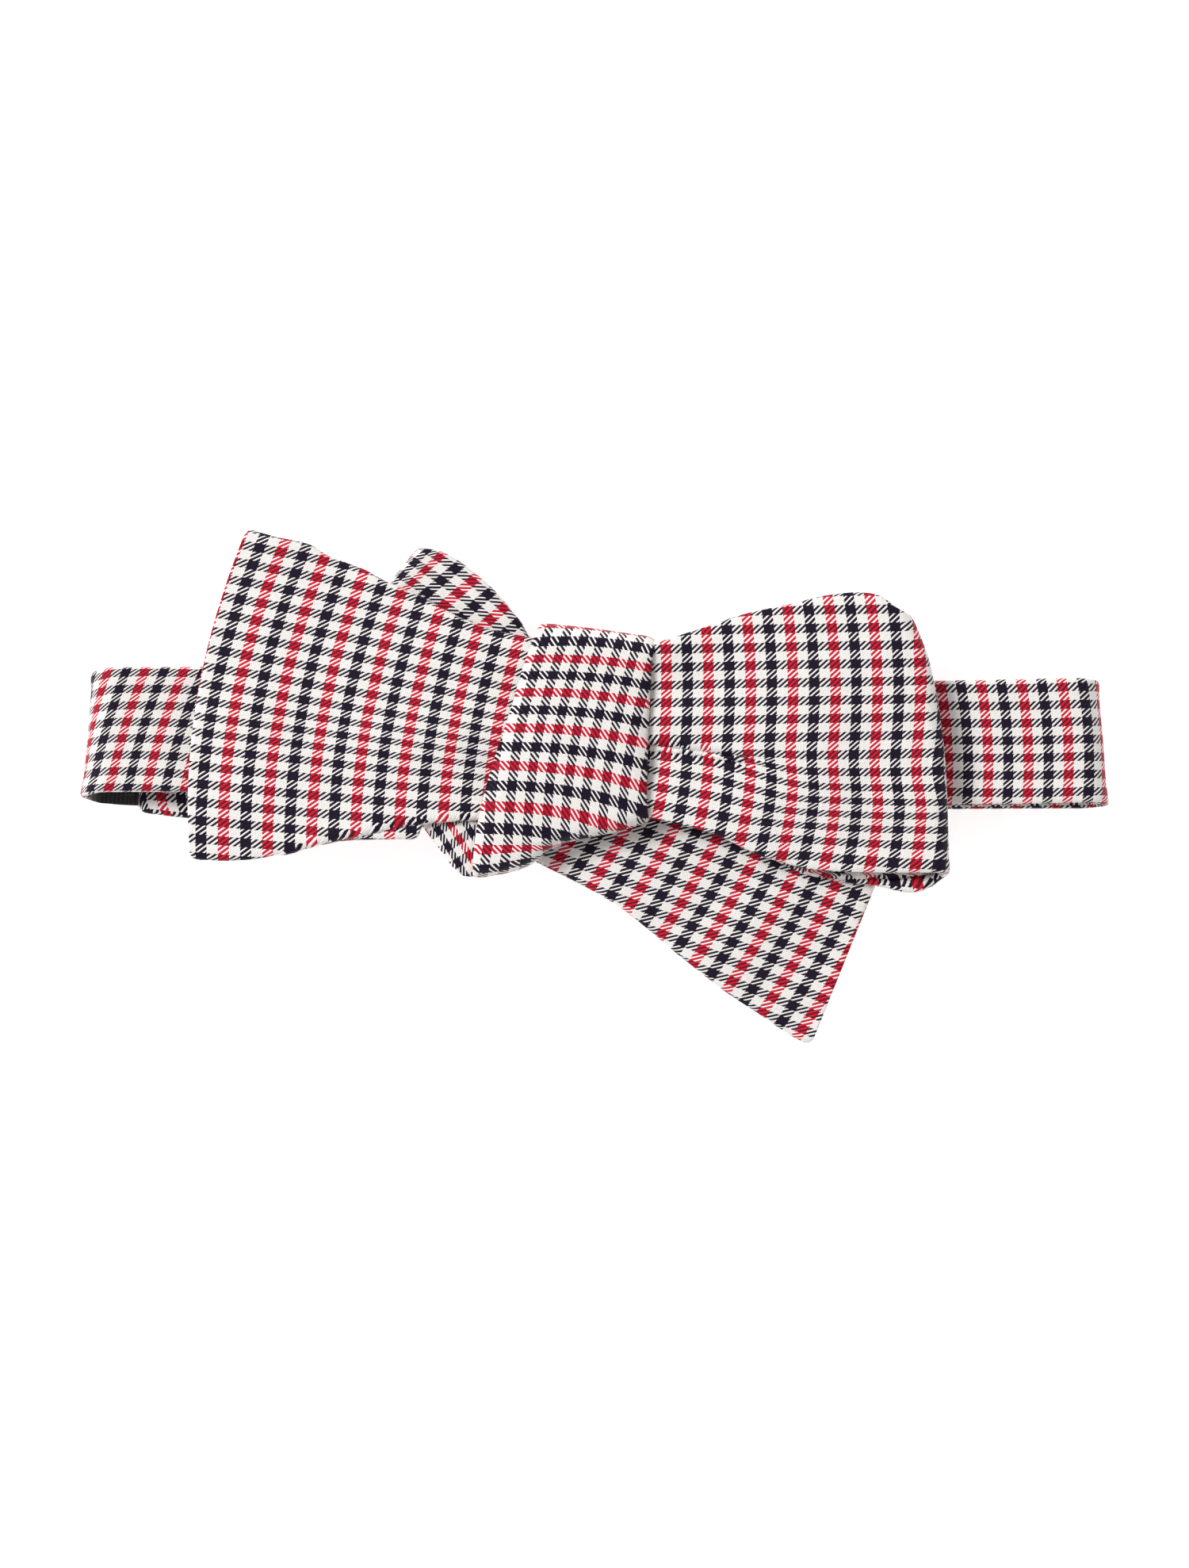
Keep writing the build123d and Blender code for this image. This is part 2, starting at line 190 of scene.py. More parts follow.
def tube(name, place, weave, length, width, half=HALF, trim=0.0, spacing=GRID):
    """A closed flat tube. place(s, t) gives the middle surface and its flat coordinates,
    s running from 0 to 1 along the cloth and t from -1 to 1 across it, and
    weave(x, y) the fabric coordinates of a flat point. trim draws it in all round, in mm."""
    s = spread(length, spacing)
    t = spread(width, spacing) * 2 - 1
    s = trim / length + s * (1 - 2 * trim / length)
    t = t * (1 - 2 * trim / width)
    s, t = np.meshgrid(s, t, indexing="ij")
    middle, flat = place(s, t)
    normal = np.cross(np.gradient(middle, axis=0), np.gradient(middle, axis=1))
    normal /= np.maximum(np.linalg.norm(normal, axis=-1, keepdims=True), 1e-9)
    across = distances(middle, 1)
    along = distances(middle, 0)
    side = np.minimum(across, across[:, -1:] - across)
    end = np.minimum(along, along[-1:, :] - along)
    lift = half * round_off(side, half) * round_off(end, half)
    if half == HALF:
        ridge = ease((side - 0.6) / 1.0) * ease((SEAM_WIDTH - side) / 1.5)
        lift = lift + SEAM_RIDGE * ridge * round_off(end, half)
    lift = lift[..., None] * normal
    top, bottom = middle + lift, middle - lift
    rows, columns = s.shape
    top_index = np.arange(rows * columns).reshape(rows, columns)
    bottom_index = top_index.copy()
    inner = (rows - 2) * (columns - 2)
    bottom_index[1:-1, 1:-1] = rows * columns + np.arange(inner).reshape(rows - 2, columns - 2)
    points = np.vstack([top.reshape(-1, 3), bottom[1:-1, 1:-1].reshape(-1, 3)])

    def quads(index):
        corners = [index[:-1, :-1], index[1:, :-1], index[1:, 1:], index[:-1, 1:]]
        return np.stack(corners, axis=-1).reshape(-1, 4)

    faces = np.vstack([quads(top_index), quads(bottom_index)[:, ::-1]])
    mesh = bpy.data.meshes.new(name)
    mesh.from_pydata((points * MM).tolist(), [], faces.tolist())
    if weave:
        u, v = weave(flat[..., 0], flat[..., 1])
        v = v + np.sign(t) * half * (1 - round_off(side, half))
        outer_map = np.stack([u, v], axis=-1)
        inner_map = np.stack([u, 2 * v[:, -1:] - v], axis=-1)
        highest = np.argmax(middle[..., 2].mean(axis=1))
        if normal[highest, columns // 2, 2] < 0:
            outer_map, inner_map = inner_map, outer_map
        corners = []
        for grid, flip in ((outer_map, False), (inner_map, True)):
            loops = np.stack([grid[:-1, :-1], grid[1:, :-1], grid[1:, 1:], grid[:-1, 1:]], axis=2)
            loops = loops.reshape(-1, 4, 2)
            corners.append(loops[:, ::-1] if flip else loops)
        layer = mesh.uv_layers.new(name="weave")
        layer.data.foreach_set("uv", np.vstack(corners).astype(np.float32).ravel())
    mesh.shade_smooth()
    mesh.update()
    piece = bpy.data.objects.new(name, mesh)
    bpy.context.collection.objects.link(piece)
    return piece


def corner_trim(distance, half_width, radius):
    """Share of its width that a strip keeps near an end with rounded corners."""
    missing = radius * (1 - round_off(distance, radius))
    return 1 - missing / half_width


# ------------------------------------------------------------------ fabric


def lines(at, count, pitch, angle, squeeze=0.0, fan=0.0, bow=0.0, reach=45.0):
    """Numbers a set of nearly parallel lines drawn in the cloth: count of them lie before the point
    at, they are pitch apart, and they follow one another at an angle in degrees from +X. Within
    reach of at they draw together (squeeze), spread (fan) and bend (bow), in hundredths per mm2."""
    ahead = (math.cos(math.radians(angle)), math.sin(math.radians(angle)))

    def number(x, y):
        dx, dy = x - at[0], y - at[1]
        p = dx * ahead[0] + dy * ahead[1]
        q = dy * ahead[0] - dx * ahead[1]
        near_p, near_q = np.clip(p, -reach, reach), np.clip(q, -reach, reach)
        bend = squeeze * near_p**2 + fan * near_p * near_q + bow * near_q**2
        return count + p / pitch + bend / 100

    return number


def fabric(stripes, rows):
    """Fabric coordinates from the numbers of the stripe and of the row."""

    def weave(x, y):
        return stripes(x, y) * STEP_ALONG, rows(x, y) * REPEAT_ACROSS

    return weave


# --------------------------------------------------------------- materials


class Nodes:
    """Small helper that wires up a material's nodes."""

    def __init__(self, name):
        self.material = bpy.data.materials.new(name)
        self.material.use_nodes = True
        self.tree = self.material.node_tree
        self.shader = self.tree.nodes["Principled BSDF"]

    def new(self, kind, **settings):
        node = self.tree.nodes.new(kind)
        for key, value in settings.items():
            setattr(node, key, value)
        return node

    def wire(self, source, target):
        if hasattr(source, "default_value"):
            self.tree.links.new(source, target)
        else:
            target.default_value = source

    def math(self, operation, a, b=0.0):
        node = self.new("ShaderNodeMath", operation=operation)
        self.wire(a, node.inputs[0])
        self.wire(b, node.inputs[1])
        return node.outputs[0]

    def mix(self, share, a, b, mode="MIX"):
        node = self.new("ShaderNodeMix", data_type="RGBA", blend_type=mode)
        self.wire(share, node.inputs["Factor"])
        self.wire(a, node.inputs["A"])
        self.wire(b, node.inputs["B"])
        return node.outputs["Result"]

    def blend(self, share, a, b):
        node = self.new("ShaderNodeMix", data_type="FLOAT")
        self.wire(share, node.inputs["Factor"])
        self.wire(a, node.inputs["A"])
        self.wire(b, node.inputs["B"])
        return node.outputs["Result"]

    def ramp(self, value, start, end):
        """0 at start and 1 at end."""
        node = self.new("ShaderNodeMapRange", interpolation_type="SMOOTHSTEP")
        self.wire(value, node.inputs["Value"])
        node.inputs["From Min"].default_value = start
        node.inputs["From Max"].default_value = end
        return node.outputs["Result"]

    def weave_map(self):
        node = self.new("ShaderNodeUVMap", uv_map="weave")
        split = self.new("ShaderNodeSeparateXYZ")
        self.wire(node.outputs["UV"], split.inputs[0])
        return split.outputs["X"], split.outputs["Y"]

    def bump(self, height, distance, strength):
        node = self.new("ShaderNodeBump")
        node.inputs["Distance"].default_value = distance
        node.inputs["Strength"].default_value = strength
        self.wire(height, node.inputs["Height"])
        self.wire(node.outputs["Normal"], self.shader.inputs["Normal"])

    def set(self, **values):
        for key, value in values.items():
            self.shader.inputs[key.replace("_", " ")].default_value = value


IVORY = (0.865, 0.825, 0.795, 1)
RED = (0.63, 0.010, 0.038, 1)
NAVY = (0.009, 0.004, 0.016, 1)
NAVY_IN_RED = (0.13, 0.003, 0.010, 1)  # crossing threads sunk between red ones
# Half the width of a twill line of crossing threads, in threads
NAVY_LINE_HALF = 1.05
IVORY_LINE_HALF = 0.74
IVORY_OVER_RED_HALF = 0.84
NAVY_OVER_RED_HALF = 1.0
PAINTED_GAP_SHADE = 0.82  # painted shade: tone of the gap between threads
TONE_SPREAD = 0.08  # from the darkest thread to the lightest
PAINTED_THREAD_TOP_LIGHT = 0.18  # painted light: how much lighter the rounded top of a thread is


def check_silk():
    """Two-and-two twill in groups of seven threads: red, ivory and navy along, navy and ivory across."""
    m = Nodes("check_silk")
    u, v = m.weave_map()
    group = THREADS_IN_GROUP
    thread_u = m.math("ADD", m.math("MULTIPLY", u, 4 * group / REPEAT_ALONG), group / 2)
    thread_v = m.math("ADD", m.math("MULTIPLY", v, 2 * group / REPEAT_ACROSS), group / 2)
    index_u = m.math("FLOOR", thread_u)
    index_v = m.math("FLOOR", thread_v)
    group_u = m.math("FLOORED_MODULO", m.math("FLOOR", m.math("DIVIDE", thread_u, group)), 4.0)
    group_v = m.math("FLOORED_MODULO", m.math("FLOOR", m.math("DIVIDE", thread_v, group)), 2.0)
    is_red = m.math("LESS_THAN", group_u, 0.5)
    is_navy = m.math("COMPARE", group_u, 2.0)
    is_navy.node.inputs[2].default_value = 0.5
    crossing_navy = m.math("LESS_THAN", group_v, 0.5)

    # The crossing threads come up over two stripe threads and go under two, one along each time
    diagonal = m.math("ADD", m.math("SUBTRACT", thread_u, thread_v), TWILL / 2)
    off_line = m.math("ABSOLUTE", m.math("SUBTRACT", m.math("FLOORED_MODULO", diagonal, TWILL), TWILL / 2))
    bulge = m.math("COSINE", m.math("MULTIPLY", thread_u, 2 * math.pi))
    ivory_half = m.blend(is_red, IVORY_LINE_HALF, IVORY_OVER_RED_HALF)
    navy_half = m.blend(is_red, NAVY_LINE_HALF, NAVY_OVER_RED_HALF)
    line_half = m.blend(crossing_navy, ivory_half, navy_half)
    line_half = m.math("SUBTRACT", line_half, m.math("MULTIPLY", bulge, 0.12))
    inside = m.math("SUBTRACT", line_half, off_line)
    crossing_on_top = m.ramp(inside, -0.08, 0.08)

    stripe = m.mix(is_navy, m.mix(is_red, IVORY, RED), NAVY)
    crossing = m.mix(crossing_navy, IVORY, m.mix(is_red, NAVY, NAVY_IN_RED))
    colour = m.mix(crossing_on_top, stripe, crossing)

    stripe_round = m.math("SINE", m.math("MULTIPLY", m.math("FRACT", thread_u), math.pi))
    stripe_round = m.math("MULTIPLY", stripe_round, m.ramp(inside, 0.0, -0.5))
    rounding = m.blend(crossing_on_top, stripe_round, m.ramp(inside, 0.0, 0.45))

    # Threads differ a little in tone, the gaps between them are darkened with painted shade, and their
    # rounded tops are lightened with painted light
    spot = m.new("ShaderNodeCombineXYZ")
    m.wire(index_u, spot.inputs[0])
    m.wire(index_v, spot.inputs[1])
    speckle = m.new("ShaderNodeTexWhiteNoise", noise_dimensions="2D")
    m.wire(spot.outputs[0], speckle.inputs["Vector"])
    tone_with_painted_shade = m.math("ADD", m.math("MULTIPLY", speckle.outputs["Value"], TONE_SPREAD), PAINTED_GAP_SHADE)
    tone_with_painted_shade = m.math("ADD", tone_with_painted_shade, m.math("MULTIPLY", rounding, PAINTED_THREAD_TOP_LIGHT))
    shade = m.new("ShaderNodeCombineColor")
    for channel in range(3):
        m.wire(tone_with_painted_shade, shade.inputs[channel])
    colour = m.mix(1.0, colour, shade.outputs[0], mode="MULTIPLY")
    m.wire(colour, m.shader.inputs["Base Color"])

    m.wire(m.math("SUBTRACT", 0.62, m.math("MULTIPLY", rounding, 0.14)), m.shader.inputs["Roughness"])
    m.bump(rounding, 0.00009, 0.8)
    m.set(Sheen_Weight=0.02, Sheen_Roughness=0.4, Specular_IOR_Level=0.13)
    return m.material


def interlining_cloth():
    """Brushed plain-weave cotton."""
    m = Nodes("interlining_cloth")
    spot = m.new("ShaderNodeTexCoord").outputs["Object"]
    noise = m.new("ShaderNodeTexNoise")
    noise.inputs["Scale"].default_value = 1400
    m.wire(spot, noise.inputs["Vector"])
    colour = m.mix(noise.outputs["Fac"], (0.70, 0.67, 0.58, 1), (0.86, 0.84, 0.78, 1))
    m.wire(colour, m.shader.inputs["Base Color"])
    m.wire(m.math("ADD", m.math("MULTIPLY", noise.outputs["Fac"], 0.2), 0.75), m.shader.inputs["Roughness"])
    m.bump(noise.outputs["Fac"], 0.0001, 0.6)
    return m.material


def ribbed_black(name, ribs_per_metre, base, light):
    """Ribbed ribbon: ribs across its length, with a slight sheen."""
    m = Nodes(name)
    spot = m.new("ShaderNodeTexCoord").outputs["Object"]
    split = m.new("ShaderNodeSeparateXYZ")
    m.wire(spot, split.inputs[0])
    rib = m.math("SINE", m.math("MULTIPLY", split.outputs["X"], 2 * math.pi * ribs_per_metre))
    rib = m.math("ADD", m.math("MULTIPLY", rib, 0.5), 0.5)
    noise = m.new("ShaderNodeTexNoise")
    noise.inputs["Scale"].default_value = 2600
    m.wire(spot, noise.inputs["Vector"])
    # The rib crests are painted lighter, a painted highlight, by an amount that differs at random from
    # place to place
    share = m.math("MULTIPLY", rib, noise.outputs["Fac"])
    m.wire(m.mix(share, base, light), m.shader.inputs["Base Color"])
    m.wire(m.math("SUBTRACT", 0.75, m.math("MULTIPLY", rib, 0.2)), m.shader.inputs["Roughness"])
    m.bump(rib, 0.0001, 0.8)
    m.set(Sheen_Weight=0.2)
    return m.material


def plated_wire():
    """Nickel plate with fine draw marks and a slightly uneven polish."""
    m = Nodes("plated_wire")
    spot = m.new("ShaderNodeTexCoord").outputs["Object"]
    noise = m.new("ShaderNodeTexNoise")
    noise.inputs["Scale"].default_value = 900
    noise.inputs["Detail"].default_value = 4
    m.wire(spot, noise.inputs["Vector"])
    colour = m.mix(noise.outputs["Fac"], (0.52, 0.51, 0.49, 1), (0.74, 0.73, 0.70, 1))
    m.wire(colour, m.shader.inputs["Base Color"])
    roughness = m.math("ADD", m.math("MULTIPLY", noise.outputs["Fac"], 0.22), 0.14)
    m.wire(roughness, m.shader.inputs["Roughness"])
    m.bump(noise.outputs["Fac"], 0.00002, 0.3)
    m.set(Metallic=1.0)
    return m.material


def sewing_thread(name, dark, light):
    """Twisted thread."""
    m = Nodes(name)
    spot = m.new("ShaderNodeTexCoord").outputs["Object"]
    wave = m.new("ShaderNodeTexWave", bands_direction="DIAGONAL")
    wave.inputs["Scale"].default_value = 900
    m.wire(spot, wave.inputs["Vector"])
    # The ridges of the twist are painted lighter, a painted highlight
    m.wire(m.mix(wave.outputs["Fac"], dark, light), m.shader.inputs["Base Color"])
    roughness = m.math("SUBTRACT", 0.6, m.math("MULTIPLY", wave.outputs["Fac"], 0.15))
    m.wire(roughness, m.shader.inputs["Roughness"])
    m.bump(wave.outputs["Fac"], 0.00005, 0.5)
    return m.material


SILK = check_silk()
LINING = interlining_cloth()
# The second colour of each ribbon is the painted highlight on its rib crests
TAPE = ribbed_black("size_tape_grosgrain", 1300, (0.002, 0.002, 0.003, 1), (0.014, 0.014, 0.016, 1))
KEEPER = ribbed_black("keeper_ribbon", 1800, (0.005, 0.005, 0.006, 1), (0.035, 0.035, 0.04, 1))
METAL = plated_wire()
# Its second colour is the painted highlight on the ridges of the twist
BLACK_THREAD = sewing_thread("black_thread", (0.010, 0.010, 0.012, 1), (0.045, 0.045, 0.05, 1))


def dress(piece, material):
    """Gives a piece its only material."""
    piece.data.materials.clear()
    piece.data.materials.append(material)


LINING_TRIM = 0.55  # the interlining is this much smaller all round than its tube


def silk_and_lining(
    name, place, weave, size, nodes, linings, rests_on, body="bow", blend=None, spacing=GRID
):
    """A length of the tie: the silk tube and the interlining inside it, made to their flat
    sizes. size is the length, the mean width and the greatest width, in mm."""
    length, width, widest = size
    silk = tube(name, place, weave, length, width, spacing=spacing)
    dress(silk, SILK)
    if nodes:
        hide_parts(*nodes)
    lining = tube(name + "_lining", place, None, length, width, LINING_HALF, LINING_TRIM, 2 * GRID)
    dress(lining, LINING)
    if linings:
        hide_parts(*linings)
    for layer, trim, below in ((silk, 0.0, rests_on), (lining, LINING_TRIM, [name])):
        if blend:
            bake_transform(layer)
        else:
            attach(layer, body)


# ------------------------------------------------------------- front blade

blade_lower = edge([
    (-74.4, -13.8), (-68.0, -14.1), (-62.4, -13.8), (-58.7, -13.1), (-53.0, -11.7), (-48.5, -10.8),
    (-44.0, -10.3), (-36.3, -10.1), (-32.6, -9.9), (-30.6, -7.4), (-21.8, -6.3), (-12.0, -5.6), (0.0, -5.0),
])
roll_line = profile([(-80, -15), (-62, -14.6), (-57.5, -12.6), (-50.8, -10.4), (-42.8, -8.6), (-36.3, -7.2),
                     (-30.5, -6.3), (-21.8, -5.8), (0, -5)])
ROLL_DROP = 1.0  # from the upper layer to the part of the lower layer rolled out past it
ROLL_OFFSET = 0.45  # how far the weave of the two layers is out of step, in stripes
blade_upper = edge([
    (-63.9, 46.9), (-58.7, 45.4), (-52.2, 43.9), (-48.6, 41.8), (-42.1, 39.3), (-38.1, 37.1),
    (-31.9, 34.5), (-25.4, 30.9), (-18.9, 28.3), (-11.6, 26.8), (0.0, 24.3),
])
BLADE_LENGTH = 74.0
BLADE_END_WIDTH = 61.6
END_BULGE = 3.5
CORNER = 1.7
BLADE_DIP = 1.1  # how much lower the blade's end lies than its start
BLADE_GATHER = 0.45  # height of its folds beside the knot
BLADE_PUFF = 0.5


def place_blade(s, t):
    keep = corner_trim(s * BLADE_LENGTH, BLADE_END_WIDTH / 2, CORNER)
    xy = between(blade_lower(s), blade_upper(s), t * keep)
    xy[..., 0] -= END_BULGE * (1 - t**2) * (1 - s) ** 2
    from_knot = (1 - s) * BLADE_LENGTH
    z = FRONT_Z - BLADE_DIP * ease(from_knot / BLADE_LENGTH) + ripple(xy[..., 0], xy[..., 1], 3)
    z += BLADE_GATHER * np.cos(2.2 * math.pi * t + 0.6) * np.exp(-np.maximum(from_knot - 14, 0) / 13)
    z += BLADE_PUFF * (1 - t**2) * ease(from_knot / 30) * ease((BLADE_LENGTH - from_knot) / 12)
    z -= ROLL_DROP * rolled_out(xy[..., 0], xy[..., 1])
    return np.concatenate([xy, z[..., None]], axis=-1), xy


def rolled_out(x, y):
    """1 on the part of the lower layer that shows past the rolled lower edge, and 0 above it."""
    return ease((roll_line(x) - y) / 0.4) * ease((x + 60) / 5)


blade_stripes = lines((-46, 14), 0.8, 4.0, -11, 0.01, 0.02, -0.09)
blade_rows = lines((-46, 14), -2.45, 3.25, 82, 0, -0.03)


def blade_pinch(x, y):
    """Rows drawn together where the blade is gathered into the knot."""
    return np.tanh((y - 6 + 0.1 * (x + 17)) / 6) * np.exp(np.minimum(x + 17, 0) / 45)


weave_blade = fabric(
    lambda x, y: blade_stripes(x, y) + ROLL_OFFSET * rolled_out(x, y),
    lambda x, y: blade_rows(x, y) + blade_pinch(x, y) + ROLL_OFFSET * rolled_out(x, y),
)


# -------------------------------------------------------------- front loop

fold_x = profile([(-1.0, 65.0), (-0.63, 64.8), (-0.14, 64.3), (0.22, 63.4), (0.46, 62.4), (0.68, 61.2),
                  (0.86, 59.5), (1.0, 57.6)])
face_lower = profile([(-1, -4.8), (10.5, -6.4), (14.5, -7.3), (18.9, -8.3), (23.2, -9.7), (29.0, -12.6),
                      (34.8, -14.5), (40.6, -15.8), (50.8, -16.2), (65.5, -16.2)])
face_upper = profile([(-1, 24.2), (11.9, 26.2), (16, 27.4), (21.8, 29.3), (27.6, 31.2), (36.3, 33.1),
                      (42.1, 34.5), (47.9, 35.1), (52.2, 34.5), (55.1, 32.4), (58.0, 31.0), (65.5, 30.0)])
return_lower = profile([(-1, -4), (12, -6), (25, -9.5), (33, -14), (39, -16.4), (46, -17.8), (52, -18.8),
                        (57.5, -19.9), (61.0, -19.2), (65.5, -16.6)])
return_upper = profile([(-1, 23), (12, 24), (25, 28), (40, 31.5), (50, 32.0), (58.0, 31.0), (65.5, 30.0)])
return_crease = profile([(20, -10), (33, -15.0), (39, -16.6), (46, -17.2), (52, -17.4), (57.5, -17.2),
                         (65.5, -15.8)])
LOOP_START = -1.0
LOOP_RADIUS = (FRONT_Z - MIDDLE_Z) / 2
FACE_LENGTH = 63.0
LOOP_LENGTH = 2 * FACE_LENGTH + math.pi * LOOP_RADIUS
FACE_SHARE = FACE_LENGTH / LOOP_LENGTH
RETURN_SHARE = 1 - FACE_SHARE
CREASE_START = (10.4, 7.3)
CREASE_SLOPE = -0.13
CREASE_LENGTH = 25.0
GROOVE_WIDTH = 0.3  # of each of the crease's two grooves
GROOVE_DEPTH = 1.2
GROOVE_GAP = 1.2  # from one groove to the other, and to the ridge above them
SECOND_GROOVE = 0.8  # depth of the lower groove, as a share
RIDGE_WIDTH = 0.7
RIDGE_HEIGHT = 0.3
RETURN_CREASE_WIDTH = 0.45
RETURN_CREASE_DEPTH = 0.8
FACE_PUFF = 0.9
RETURN_PUFF = 0.3
LOOP_GATHER = 0.4  # height of the loop's folds beside the knot


def crease_distance(x, y):
    return y - CREASE_START[1] - CREASE_SLOPE * (x - CREASE_START[0])


def place_loop(s, t):
    outer = fold_x(t) - HALF - LOOP_RADIUS
    q = np.clip(s / FACE_SHARE, 0, 1)
    back = np.clip((s - RETURN_SHARE) / (1 - RETURN_SHARE), 0, 1)
    turn = np.clip((s - FACE_SHARE) / (RETURN_SHARE - FACE_SHARE), 0, 1) * math.pi
    run = outer - LOOP_START
    x = LOOP_START + run * (q - back) + LOOP_RADIUS * np.sin(turn)
    share = turn / math.pi
    y_face = between(face_lower(x), face_upper(x), t)
    y_back = between(return_lower(x), return_upper(x), t)
    y = y_face * (1 - share) + y_back * share
    z = (FRONT_Z + MIDDLE_Z) / 2 + LOOP_RADIUS * np.cos(turn)
    puff = np.sin(math.pi * np.clip((x - 8) / 60, 0, 1)) * (1 - t**2)
    z += FACE_PUFF * puff * (1 - share) - RETURN_PUFF * puff * share
    z += ripple(x, y, 5) * (1 - share)
    gather = np.exp(-np.maximum(x - 10, 0) / 12)
    z += LOOP_GATHER * np.cos(2.4 * math.pi * t - 0.5) * gather * (1 - share)
    away = crease_distance(x, y)
    fade = ease((x - 6) / 4) * ease((CREASE_START[0] + CREASE_LENGTH - x) / 16)
    second = SECOND_GROOVE * np.exp(-(((away + GROOVE_GAP) / GROOVE_WIDTH) ** 2))
    groove = np.exp(-((away / GROOVE_WIDTH) ** 2)) + second
    ridge = RIDGE_HEIGHT * np.exp(-(((away - GROOVE_GAP) / RIDGE_WIDTH) ** 2))
    z += (ridge - GROOVE_DEPTH * groove) * fade * (1 - share)
    fold_line = np.exp(-(((y - return_crease(x)) / RETURN_CREASE_WIDTH) ** 2))
    z -= RETURN_CREASE_DEPTH * fold_line * ease((x - 20) / 8) * share
    flat_x = x * (1 - np.sign(back)) + (2 * outer + math.pi * LOOP_RADIUS - x) * np.sign(back)
    flat_x = np.where((turn > 0) & (back == 0), outer + LOOP_RADIUS * turn, flat_x)
    return np.stack([x, y, z], axis=-1), np.stack([flat_x, y], axis=-1)


upper_stripes = lines((39, 19), 0.7, 3.85, 1, 0, 0.01, 0.12)
upper_rows = lines((39, 19), 1.15, 3.3, 91)
lower_stripes = lines((42, -3), 1.5, 3.95, -4, 0, 0.08, 0.2, 36)
lower_rows = lines((42, -3), -6.6, 3.5, 86, 0.3, 0.15, -0.05, 36)


LOOP_PINCH = 1.2  # rows taken up on each side


def lower_pinch(x, y):
    """Rows drawn together along the low fold of the loop, away from the knot."""
    return LOOP_PINCH * np.tanh((y + 7) / 8) * ease((x - 20) / 20)


def below_crease(x, y):
    """0 above the crease of the loop and 1 below it, softer away from the knot."""
    soft = 0.5 + 5.5 * ease((x - 18) / 26)
    return ease(0.5 - crease_distance(x, y) / (2 * soft))


def loop_stripes(x, y):
    under = 0.8 * ease((return_crease(x) - y) / 0.5)
    return upper_stripes(x, y) + (lower_stripes(x, y) - upper_stripes(x, y)) * below_crease(x, y) + under


def loop_rows(x, y):
    upper = upper_rows(x, y)
    return upper + (lower_rows(x, y) + lower_pinch(x, y) - upper) * below_crease(x, y)


weave_loop = fabric(loop_stripes, loop_rows)


# --------------------------------------------------------------- rear loop

REAR_RADIUS = (MIDDLE_Z - REAR_Z) / 2
REAR_OUT = np.array([-0.763, 0.647])  # along the loop, from the knot to its fold
REAR_UP = np.array([0.647, 0.763])  # across it
REAR_START = 12.0
REAR_FOLD = 52.7
REAR_PUFF = 0.6
rear_loop_bottom = profile([(0, -14), (30, -16), (45, -18), (60, -18.9)])
rear_loop_top = profile([(0, 6), (12, 8.5), (21.1, 11.0), (27.0, 13.0), (30.1, 14.1), (37.7, 15.3),
                         (45.2, 15.2), (49.5, 14.2), (52.0, 12.4), (53.5, 10.8)])
REAR_LOOP_LENGTH = REAR_FOLD - REAR_START
REAR_TOTAL = 2 * REAR_LOOP_LENGTH + math.pi * REAR_RADIUS


def place_rear_loop(s, t):
    first = REAR_LOOP_LENGTH / REAR_TOTAL
    q = np.clip(s / first, 0, 1)
    back = np.clip((s - 1 + first) / first, 0, 1)
    turn = np.clip((s - first) / (1 - 2 * first), 0, 1) * math.pi
    start = REAR_FOLD - HALF - REAR_RADIUS
    out = REAR_START + (start - REAR_START) * (q - back) + REAR_RADIUS * np.sin(turn)
    up = between(rear_loop_bottom(out), rear_loop_top(out), t)
    z = (MIDDLE_Z + REAR_Z) / 2 + REAR_RADIUS * np.cos(turn)
    z += REAR_PUFF * np.sin(math.pi * q) * (1 - t**2) * (turn < 0.01)
    flat_out = np.where(back > 0, 2 * start + math.pi * REAR_RADIUS - out, start + REAR_RADIUS * turn)
    flat_out = np.where(turn > 0, flat_out, out)
    xy = out[..., None] * REAR_OUT + up[..., None] * REAR_UP
    flat = flat_out[..., None] * REAR_OUT + up[..., None] * REAR_UP
    return np.concatenate([xy, z[..., None]], axis=-1), flat


rear_loop_stripes = lines((-29.7, 36.8), 0.8, 3.75, -49)
FOLD_DRAW_START = 48.5


def rear_fold_draw(x, y):
    """Stripes drawn together where the loop rolls over into its fold."""
    past = np.maximum(x * REAR_OUT[0] + y * REAR_OUT[1] - FOLD_DRAW_START, 0)
    return 0.1 * past + 0.04 * past**2


weave_rear_loop = fabric(
    lambda x, y: rear_loop_stripes(x, y) - rear_fold_draw(x, y),
    lines((-29.7, 36.8), -0.4, 3.25, 55, 0, 0, 0.15),
)


# -------------------------------------------------------------- rear blade

rear_lower = edge([(-24, -6.5), (-17, -11), (-10.2, -14.6), (-1.5, -19.0), (5.8, -23.5), (14.5, -30.7),
                   (23.2, -37.6), (29.0, -41.5), (35.0, -45.6), (39.7, -48.2)])
rear_upper = edge([(-14, 22), (-2, 20.5), (12, 15), (30, 11.0), (48, 9.0), (62.3, 8.0)])
REAR_BLADE_LENGTH = 76.0
REAR_BLADE_DIP = 0.8  # how much lower its outer lower corner lies
REAR_BLADE_GATHER = 0.35


def place_rear_blade(s, t):
    from_end = (1 - s) * REAR_BLADE_LENGTH
    keep = corner_trim(from_end, BLADE_END_WIDTH / 2, CORNER)
    xy = between(rear_lower(s), rear_upper(s), t * keep)
    z = REAR_Z + ripple(xy[..., 0], xy[..., 1], 8) - REAR_BLADE_DIP * ease(s * 2 - 1) * (1 - t) / 2
    fade = np.exp(-np.maximum(s * REAR_BLADE_LENGTH - 14, 0) / 12)
    z += REAR_BLADE_GATHER * np.cos(2.0 * math.pi * t) * fade
    return np.concatenate([xy, z[..., None]], axis=-1), xy


weave_rear_blade = fabric(
    lines((26, -24), 0.5, 3.9, -30, 0, 0, 0.08),
    lines((26, -24), -0.5, 3.3, 68.5, 0, 0.01, 0.01),
)


# -------------------------------------------------------------------- knot

